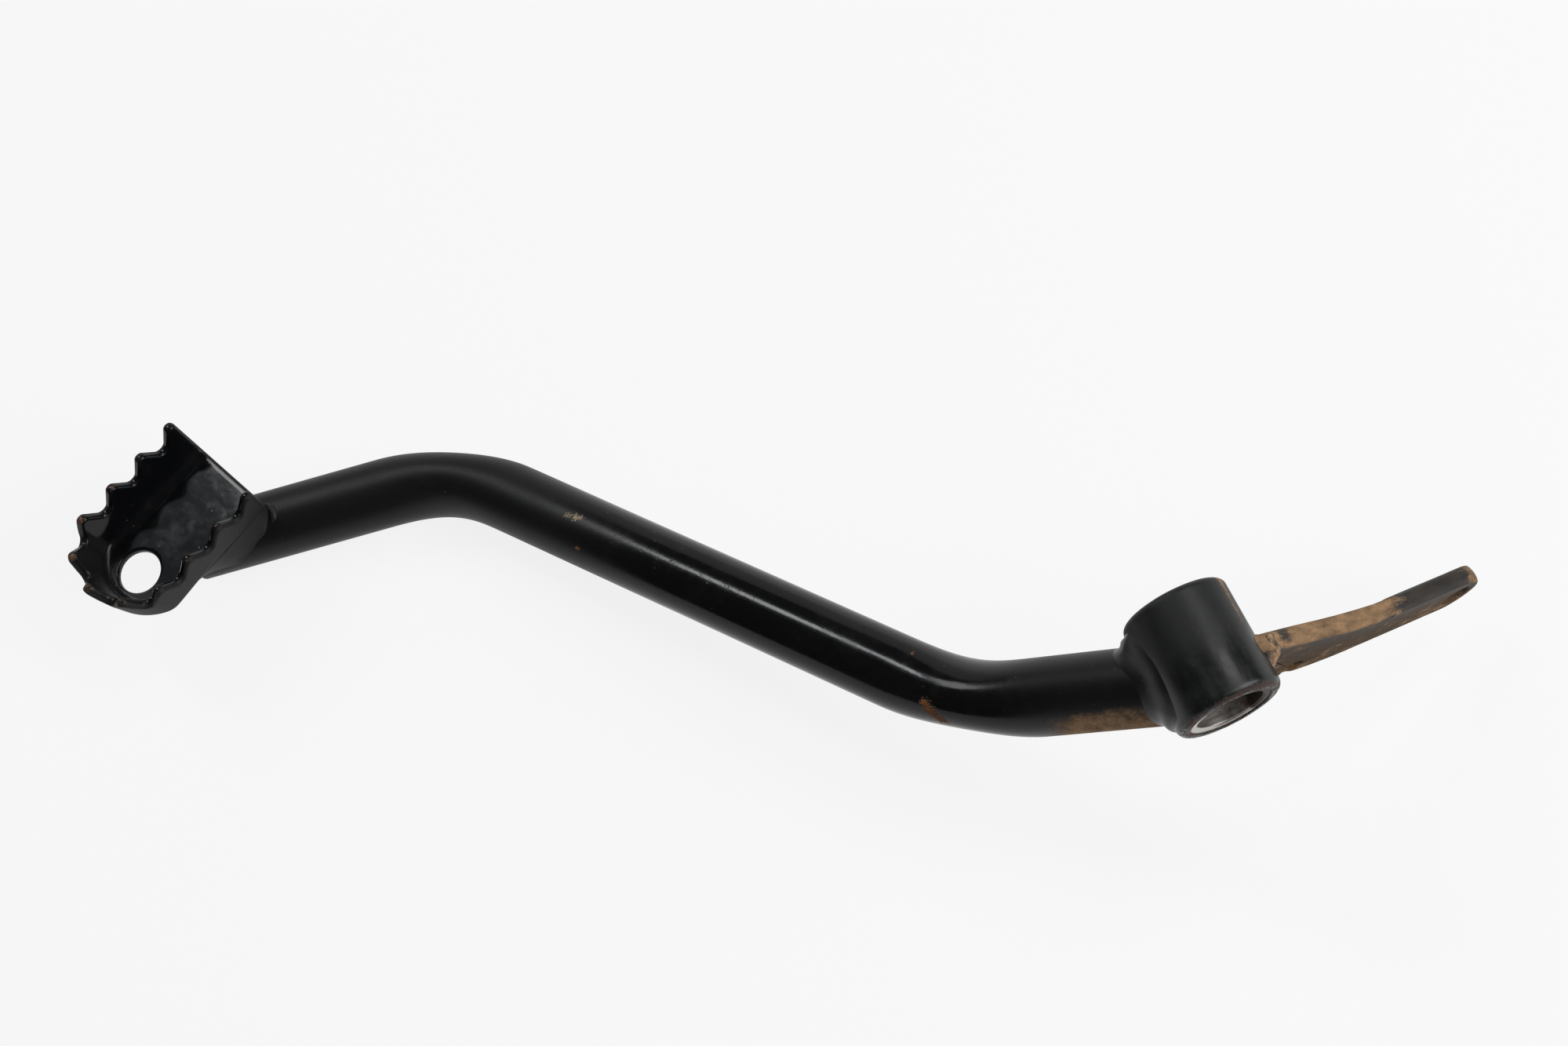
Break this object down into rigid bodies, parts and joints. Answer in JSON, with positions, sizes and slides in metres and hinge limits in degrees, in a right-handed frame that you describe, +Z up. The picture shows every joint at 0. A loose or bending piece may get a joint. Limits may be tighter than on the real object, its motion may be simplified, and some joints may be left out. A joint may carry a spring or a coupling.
{
  "type": "brake pedal",
  "caption": "Motorcycle rear brake pedal: bent black tube arm from a pivot boss to a toothed cup step, with a flat rear lever for the brake rod.",
  "frame": {"origin": "on the pivot axis, half way along the pivot boss", "axes": "+X forward, towards the step; +Y inboard along the pivot axis, away from the step; +Z up, the way the step opens"},
  "size_m": [0.2706, 0.1745, 0.0654],
  "materials": {
    "arm_paint": "gloss black paint, scuffed",
    "boss_paint": "satin black paint, dusty",
    "bush_steel": "bare worn steel",
    "step_paint": "satin black paint, worn on the tooth tips",
    "lever_paint": "black paint under dried tan dirt",
    "weld_paint": "satin black paint over weld"
  },
  "bodies": {
    "root": {"pedal_arm": "arm_paint", "pivot_boss": "boss_paint", "pivot_bush": "bush_steel", "step_cup": "step_paint", "rear_lever": "lever_paint", "weld_arm_boss": "weld_paint", "weld_lever_boss": "weld_paint", "weld_step_inboard": "weld_paint", "weld_step_outboard": "weld_paint"}
  },
  "joints": []
}
